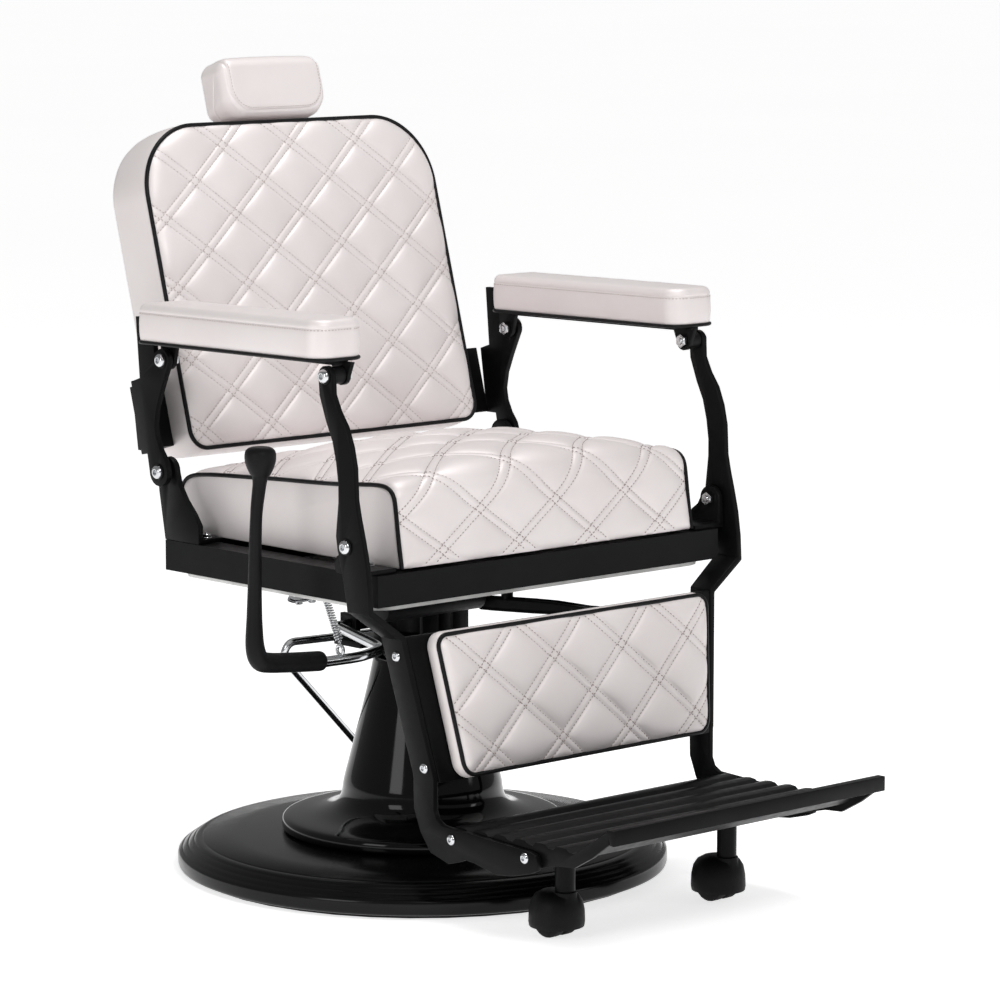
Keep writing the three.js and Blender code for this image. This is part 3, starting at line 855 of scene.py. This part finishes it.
def make_column():
    disc = [
        (317, 6), (326, 6.2), (329, 7.6), (330, 11), (330, 22), (329.4, 25), (328, 26.6), (325.4, 28.6),
        (324.6, 28.2), (323.4, 29.0), (322.8, 30.4), (317.6, 33.9), (316.6, 33.5), (315.4, 34.4),
        (314.8, 35.8), (309.6, 39.2), (308.6, 38.8), (307.4, 39.8), (306.8, 41.0), (304, 42.6), (300, 43.6),
        (297, 43.4), (295.6, 44.9), (250, 48.2), (195, 52), (30, 52), (30, 47), (195, 47), (290, 40),
        (312, 24),
    ]
    Shell().add(*turned(disc, 180, True)).build(
        "base_disc_shell", SATIN, "base", "gloss_black", ["base_disc"], 50)
    outer = soften([
        (184, 52.3), (189, 54.5), (190, 58), (190, 65), (188, 69.5), (182, 72), (150, 75), (133, 79),
        (121, 84), (113.5, 91), (109.5, 99), (108, 108), (107, 118), (99, 148), (86, 198), (75, 242),
        (69, 270), (66.3, 284),
    ], 2)
    inner = [
        (65.6, 286), (60.5, 286), (60, 284), (69, 240), (93, 148), (101, 116), (116, 77), (180, 65),
        (180, 52.3),
    ]
    profile = np.vstack([outer, inner])
    Shell().add(*turned(profile, 144, True)).build(
        "column_shell", FINISH["gloss_black"], "base", "gloss_black", ["column_cover"], 50)


def polar_rings(rings, segments=24):
    """Rings round Z as (radius, height, share of a hexagon), closed at both ends."""
    angles = full_circle(segments)
    sector = np.mod(angles, math.pi / 3) - math.pi / 6
    hexagon = math.cos(math.pi / 6) / np.cos(sector)
    points = []
    for radius, height, share in rings:
        r = radius * (1 + share * (hexagon / math.cos(math.pi / 6) - 1))
        points.append(np.stack([r * np.cos(angles), r * np.sin(angles), np.full(segments, float(height))], 1))
    return np.vstack(points), grid_faces(len(rings), segments, True) + end_caps(len(rings), segments)


def button_head(r, h):
    """A low domed screw head with a hexagon socket."""
    return polar_rings([
        (r * 0.9, 0, 0), (r, 0.4, 0), (r * 0.99, h * 0.25, 0), (r * 0.9, h * 0.6, 0),
        (r * 0.7, h * 0.88, 0), (r * 0.5, h, 0), (r * 0.44, h, 0), (r * 0.36, h * 0.96, 1),
        (r * 0.34, h * 0.35, 1),
    ])


def washer(r, hole, z0, z1):
    profile = [(hole, z0), (r - 0.4, z0), (r, z0 + 0.4), (r, z1 - 0.4), (r - 0.4, z1), (hole, z1)]
    return turned(profile, 32, True)


def nut(r, z0, z1):
    """A hexagon nut with the end of its bolt standing out."""
    return polar_rings([
        (r * 0.8, z0, 0.2), (r * 0.87, z0 + 0.4, 0.9), (r * 0.87, z1 - 0.7, 0.9), (r * 0.78, z1, 0.2),
        (r * 0.5, z1, 0), (r * 0.46, z1 - 0.8, 0), (r * 0.44, z1 + 1.6, 0), (r * 0.3, z1 + 2.0, 0),
    ])


def make_bolt(node):
    """A button-head pivot bolt with its spacer, washers and lock nut."""
    lo, hi = (1000 * np.array(v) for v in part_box(node))
    side = -1 if node.endswith("left") else 1
    at = ((lo + hi) / 2) * [0, 1, 1]
    inner, outer = sorted((abs(lo[0]), abs(hi[0])))
    body = BODY_OF[node]
    steel, black = Shell(), Shell()
    long = node.startswith(("leg", "arm_front"))
    # The spacer fills the gap between two plates; distances are from the chair's middle.
    starts = {"back": 302.3, "leg_": 320.3, "arm_r": 305.3, "arm_f": 306.3}
    gap_start = next(start for key, start in starts.items() if node.startswith(key))
    gap_end = 323.7 if long else 307.7
    head_at = outer - 5.7
    shaft = 5
    points, faces = turned([(shaft, inner + 6), (shaft, outer - 5)], 24)
    steel.add(along_x(points, at, side), faces)
    points, faces = button_head(9.2, 5.0)
    steel.add(along_x(points + [0, 0, head_at + 1.5], at, side), faces)
    points, faces = nut(9, 0, 5.6)
    steel.add(along_x(points * [1, 1, -1] + [0, 0, inner + 7.0], at, side), faces)
    for r, hole, z0, z1 in ((11, 4.9, gap_start, gap_end), (10.6, 4.9, head_at, head_at + 1.4)):
        points, faces = washer(r, hole, z0, z1)
        black.add(along_x(points, at, side), faces)
    steel.build(node + "_steel", FINISH["chrome"], body, "chrome", [node], 35)
    black.build(node + "_washers", FINISH["black_plastic"], body, None, (), 35)


def make_screws():
    """Small screws that hold the footrest and the legrest board to the links."""
    # The links' outer faces spread from low_x at low_z to high_x at high_z.
    low_x, high_x, low_z, high_z = 250.8, 279.5, 195.5, 374
    slope = (high_x - low_x) / (high_z - low_z)
    spots = [(-261.6, 352.4), (-287.9, 210.2), (-335.7, 125.9), (-470.4, 125)]
    for name, side in (("left", -1), ("right", 1)):
        shell = Shell()
        for y, z in spots:
            x = low_x + max(0, z - low_z) * slope + 0.2
            points, faces = button_head(7, 3.6)
            shell.add(along_x(points + [0, 0, x], [0, y, z], side), faces)
        shell.build("link_screws_" + name, FINISH["chrome"], "legrest", "chrome", (), 35)
        feet = Shell()
        for x, y in ((279, 112), (279, 150), (278, -212)):
            points, faces = washer(7.5, 2, 462.1, 463.3)
            feet.add(points + [side * x, y, 0], faces)
            points, faces = nut(6.2, 463.3, 467.2)
            feet.add(points + [side * x, y, 0], faces)
        feet.build("ear_bolts_" + name, FINISH["chrome"], "seat_frame", "chrome", (), 35)


# The lever's pivot line, the plane its grip moves in, the ring for the spring, and the treadle.
PIVOT_Y, PIVOT_Z = 62.0, 328.0
GRIP_Y, KNOB_X = -84, -348
RING_X, RING_RADIUS = -217, 6.2
TREADLE_Y, TREADLE_Z = 208, 128


def make_lever():
    shell = Shell()
    shell.add(*tube([[-101, PIVOT_Y, PIVOT_Z], [101, PIVOT_Y, PIVOT_Z]], 8, 24))
    front = [
        [-95, PIVOT_Y, PIVOT_Z], [-95, -30, PIVOT_Z - 18], [-185, GRIP_Y, PIVOT_Z - 11],
        [-262, GRIP_Y, PIVOT_Z - 10],
    ]
    shell.add(*tube(bent_path(front, 22), 7, 20))
    rear = [
        [95, PIVOT_Y, PIVOT_Z], [95, 96, PIVOT_Z - 36], [20, 104, PIVOT_Z - 25],
        [-129, 125, PIVOT_Z - 25], [-135, 131, PIVOT_Z - 46], [66, TREADLE_Y, TREADLE_Z - 4],
        [150, TREADLE_Y, TREADLE_Z],
    ]
    shell.add(*tube(bent_path(rear, 16), 5.5, 18))
    ring = [
        [RING_X, GRIP_Y + RING_RADIUS * math.cos(a), PIVOT_Z + 2 + RING_RADIUS * math.sin(a)]
        for a in np.arange(24) * math.pi / 12
    ]
    shell.add(*tube(ring, 2.6, 10, True))
    shell.build("pump_lever_bars", FINISH["chrome"], "pump_lever", "chrome", ["pump_lever_frame"], 40)
    make_grip(PIVOT_Z - 10)
    make_treadle()
    make_spring()


def make_grip(bar_z):
    outline = [
        (-250, bar_z + 2), (-300, bar_z + 6), (-338, bar_z + 10), (-353, 332), (-360, 350), (-360, 382),
        (-358.5, 442), (-356, 522), (-350, 556), (KNOB_X, 574), (KNOB_X, 590),
    ]
    line = resample(soften([[x, GRIP_Y, z] for x, z in outline], 3), 3)
    far = distance_along(line)
    spots = [0, 4, 6, 70, 100, 130, 160, 215, 290, 330, 348, 362, far[-1]]
    widths = [13.6, 14.4, 14.2, 14, 14.4, 12.4, 10.6, 9.0, 8.2, 9.2, 11.5, 14, 17]
    radius = np.interp(far, spots, widths)
    shell = Shell().add(*tube(line, radius, 28, flat=0.92))
    knob = [
        (12, 570), (14.5, 574), (18.5, 583), (20.2, 590), (20.2, 598), (18.5, 603), (13, 606.4), (6, 607),
        (1, 607),
    ]
    points, faces = turned(soften(knob, 2), 48)
    shell.add(points + [KNOB_X, GRIP_Y, 0], faces)
    shell.build("hand_lever_grip", FINISH["black_plastic"], "pump_lever", "black_plastic", ["hand_lever"], 50)


def make_treadle():
    """A rubber sleeve with nine ribs."""
    bore, outer, groove_radius, pitch = 6.2, 13, 11.6, 7.4
    profile = [(bore, 84), (11.5, 84), (outer, 85.5)]
    for k in range(9):
        x = 88 + pitch * k
        profile += [(outer, x), (outer, x + 4.6), (groove_radius, x + 5.4), (groove_radius, x + 6.8)]
    profile += [(outer, 156), (11.5, 158), (bore, 158)]
    points, faces = turned(profile, 32, True)
    Shell().add(along_x(points, [0, TREADLE_Y, TREADLE_Z]), faces).build(
        "pedal_sleeve", FINISH["rubber"], "pump_lever", "rubber", ["pedal_pad"], 40)


def make_spring():
    """A coil spring from the lever to the seat frame, thin at both ends, and its clamp."""
    low, high = np.array([RING_X, GRIP_Y, PIVOT_Z + 11.5]), np.array([-225, -64, 400.0])
    axis = unit(high - low)
    side = np.array([1.0, 0, 0])
    other = np.cross(axis, side)
    turns = 19
    t = np.linspace(0, 1, turns * 18 + 1)
    coil_radius, wire_radius = 4.5, 1.1
    swell = np.clip(np.minimum(t, 1 - t) * 12, 0.15, 1) * coil_radius
    wind = t * turns * 2 * math.pi
    path = low + (high - low) * t[:, None]
    path = path + (side * np.cos(wind)[:, None] + other * np.sin(wind)[:, None]) * swell[:, None]
    piece = Shell().add(*tube(path, wire_radius, 8)).build(
        "return_spring_coil", FINISH["chrome"], None, "chrome", ["return_spring"], 50)
    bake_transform(piece)
    clamp = Shell()
    clamp_y = -62
    for x in (-268, -246):
        points, faces = nut(5.5, 393.5, 398)
        clamp.add(points + [x, clamp_y, 0], faces)
    heights = {-284: 403, -276: 399.6, -236: 399.6, -228: 400.5, -222: 402.5}
    bar = [[x, clamp_y, z] for x, z in heights.items()]
    clamp.add(*tube(bent_path(bar, 6, 2), 2.6, 12, flat=1.6))
    clamp.build("spring_anchor", FINISH["chrome"], "seat_frame", "chrome", (), 40)


# ---- carried-over steel ------------------------------------------------------

def edges_sharper_than(shell, angle):
    return [e for e in shell.edges if len(e.link_faces) == 2 and e.calc_face_angle() > angle]


def refined(node, width=0.9, segments=2, sharp=38):
    """A copy of a CAD node whose hard edges are rounded off."""
    shell = bmesh.new()
    shell.from_mesh(frame["nodes"][node].data)
    bmesh.ops.remove_doubles(shell, verts=shell.verts, dist=1e-6)
    bmesh.ops.dissolve_limit(shell, angle_limit=math.radians(1.2), verts=shell.verts, edges=shell.edges)
    hard = edges_sharper_than(shell, math.radians(sharp))
    bmesh.ops.bevel(
        shell, geom=hard, offset=width / 1000, segments=segments, profile=0.5, affect="EDGES",
        clamp_overlap=True)
    mesh = bpy.data.meshes.new(node + "_finished")
    shell.to_mesh(mesh)
    shell.free()
    slot = SLOT_OF[node]
    return finish_piece(node + "_finished", mesh, FINISH[slot], BODY_OF[node], slot, [node], sharp)


# Bevel widths in mm, where a node needs another one than the usual.
ROUNDING = {
    "front_link_left": 1.4, "front_link_right": 1.4, "back_plate_left": 1.3, "back_plate_right": 1.3,
    "footrest": 0.5, "base_plate": 0.6, "caster_hood_left": 2.2, "caster_hood_right": 2.2, "pump_head": 0.8,
    "caster_wheel_left": 1.0, "caster_wheel_right": 1.0,
}


def make_seat_frame():
    """The four rails as one welded square tube, with rounded edges."""
    lo, hi = (1000 * np.array(v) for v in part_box("seat_rail_front"))
    rear = 1000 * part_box("seat_rail_rear")[1].y
    width = hi[1] - lo[1]
    shell = bmesh.new()
    loops = []
    for inset in (0, width):
        corners = [(lo[0] + inset, lo[1] + inset), (hi[0] - inset, lo[1] + inset)]
        corners += [(hi[0] - inset, rear - inset), (lo[0] + inset, rear - inset)]
        for z in (lo[2], hi[2]):
            loops.append([shell.verts.new((x / 1000, y / 1000, z / 1000)) for x, y in corners])
    outer_low, outer_high, inner_low, inner_high = loops
    section = [outer_low, outer_high, inner_high, inner_low]
    for first, second in zip(section, section[1:] + section[:1]):
        for k in range(4):
            shell.faces.new((first[k], first[(k + 1) % 4], second[(k + 1) % 4], second[k]))
    hard = edges_sharper_than(shell, 0.5)
    bmesh.ops.bevel(shell, geom=hard, offset=0.0028, segments=4, profile=0.5, affect="EDGES")
    mesh = bpy.data.meshes.new("seat_frame_tube")
    shell.to_mesh(mesh)
    shell.free()
    rails = ["seat_rail_" + side for side in ("front", "rear", "left", "right")]
    finish_piece("seat_frame_tube", mesh, FINISH["black_steel"], "seat_frame", "black_steel", rails, 50)


def make_recline_handle():
    """A flat bar, deep at its pivot and thin at the rounded tip."""
    # Each is a place along the bar, half its width and half its depth there.
    stations = [
        (-38, 7, 8.0), (-36, 8, 9.0), (-20, 8.2, 9.4), (40, 9.3, 9.4), (70, 10.0, 8.6), (98, 10.6, 6.0),
        (116, 11.0, 4.2), (126, 10.2, 4.6), (131, 7.4, 4.4), (133, 3.6, 3.4),
    ]
    pivot_x, pivot_y, pivot_z = 46, -118, 365
    turn = math.radians(-65.6)
    rows = []
    for along, half_width, half_depth in stations:
        corner = min(half_width, half_depth) * 0.35
        ring = []
        for sx, sz in ((1, -1), (1, 1), (-1, 1), (-1, -1)):
            order = (0, 1, 2) if sx * sz < 0 else (2, 1, 0)
            for k in order:
                a = k * math.pi / 4
                across = half_width - corner * (1 - math.cos(a))
                up = half_depth - corner * (1 - math.sin(a))
                ring.append((sx * across, sz * up))
        for across, up in ring:
            rows.append([
                pivot_x + along * math.cos(turn) - across * math.sin(turn),
                pivot_y + along * math.sin(turn) + across * math.cos(turn), pivot_z + up])
    around = len(ring)
    faces = grid_faces(len(stations), around, True) + end_caps(len(stations), around)
    Shell().add(np.array(rows), faces).build(
        "recline_handle_bar", FINISH["black_steel"], "recline_handle", "black_steel", ["recline_lever"], 40)


def make_rest():
    """Every other node keeps its CAD shape, with rounded edges where it has hard ones."""
    stood_for = {n for o in bpy.data.objects for n in o.get("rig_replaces", [])}
    for node in sorted(frame["nodes"]):
        if node not in stood_for:
            refined(node, ROUNDING.get(node, 0.9))


# ---- camera and light --------------------------------------------------------

def make_camera():
    """Fitted to the photograph."""
    azimuth, elevation, distance = math.radians(-42.688), math.radians(7.927), 5.7005
    sideways, height = 0.10109, 0.5108
    right = Vector((math.cos(azimuth), math.sin(azimuth), 0))
    level = math.cos(elevation)
    back = Vector((math.sin(azimuth) * level, -math.cos(azimuth) * level, math.sin(elevation)))
    target = right * sideways + Vector((0, 0, height))
    data = bpy.data.cameras.new("camera")
    data.lens, data.sensor_width = 153.62, 36
    data.shift_x, data.shift_y = 0.0024, -0.0105
    camera = bpy.data.objects.new("camera", data)
    camera.location = target + back * distance
    camera.rotation_mode = "QUATERNION"
    camera.rotation_quaternion = (-back).to_track_quat("-Z", "Y")
    bpy.context.scene.collection.objects.link(camera)
    bpy.context.scene.camera = camera


def make_light(name, place, aim, size, power):
    data = bpy.data.lights.new(name, "AREA")
    data.shape = "RECTANGLE"
    data.size, data.size_y = size
    data.energy = power
    lamp = bpy.data.objects.new(name, data)
    lamp.location = place
    lamp.rotation_mode = "QUATERNION"
    lamp.rotation_quaternion = (Vector(aim) - Vector(place)).to_track_quat("-Z", "Y")
    bpy.context.scene.collection.objects.link(lamp)


def make_studio():
    reach = 200
    corners = [(-reach, -reach, 0), (reach, -reach, 0), (reach, reach, 0), (-reach, reach, 0)]
    floor = bpy.data.meshes.new("floor")
    floor.from_pydata(corners, [], [(0, 1, 2, 3)])
    n = Nodes("studio_floor", Roughness=0.9, Specular_IOR_Level=0.1, Emission_Strength=0.72)
    n.shader.inputs["Emission Color"].default_value = (1, 1, 1, 1)
    n.colours(n.noise(0.4, 2), 0.3, 0.7, (0.84, 0.84, 0.84), (0.86, 0.86, 0.86))
    floor.materials.append(n.material)
    ground = bpy.data.objects.new("floor", floor)
    bpy.context.scene.collection.objects.link(ground)
    world = bpy.data.worlds.new("studio")
    bpy.context.scene.world = world
    world.use_nodes = True
    world.node_tree.nodes["Background"].inputs["Color"].default_value = (1, 1, 1, 1)
    world.node_tree.nodes["Background"].inputs["Strength"].default_value = 0.30
    bpy.context.scene.view_settings.view_transform = "Standard"
    make_light("key", (-1.6, -3.3, 3.2), (0, 0, 0.7), (1.0, 1.0), 58)
    make_light("side", (-3.5, -0.55, 1.3), (0, 0, 0.6), (1.15, 1.25), 17)
    make_light("top", (0.3, -0.1, 3.7), (0, -0.1, 0.6), (1.2, 1.2), 50)
    make_light("right", (2.2, -3.2, 1.6), (0, 0, 0.6), (0.5, 1.4), 8)


make_camera()
make_studio()
make_back()
make_seat()
make_legrest()
make_arm("left", -1)
make_arm("right", 1)
make_headrest()
make_column()
for bolt in ("back_pivot_bolt", "leg_pivot_bolt", "arm_rear_bolt", "arm_front_bolt"):
    make_bolt(bolt + "_left")
    make_bolt(bolt + "_right")
make_screws()
make_lever()
make_seat_frame()
make_recline_handle()
make_rest()
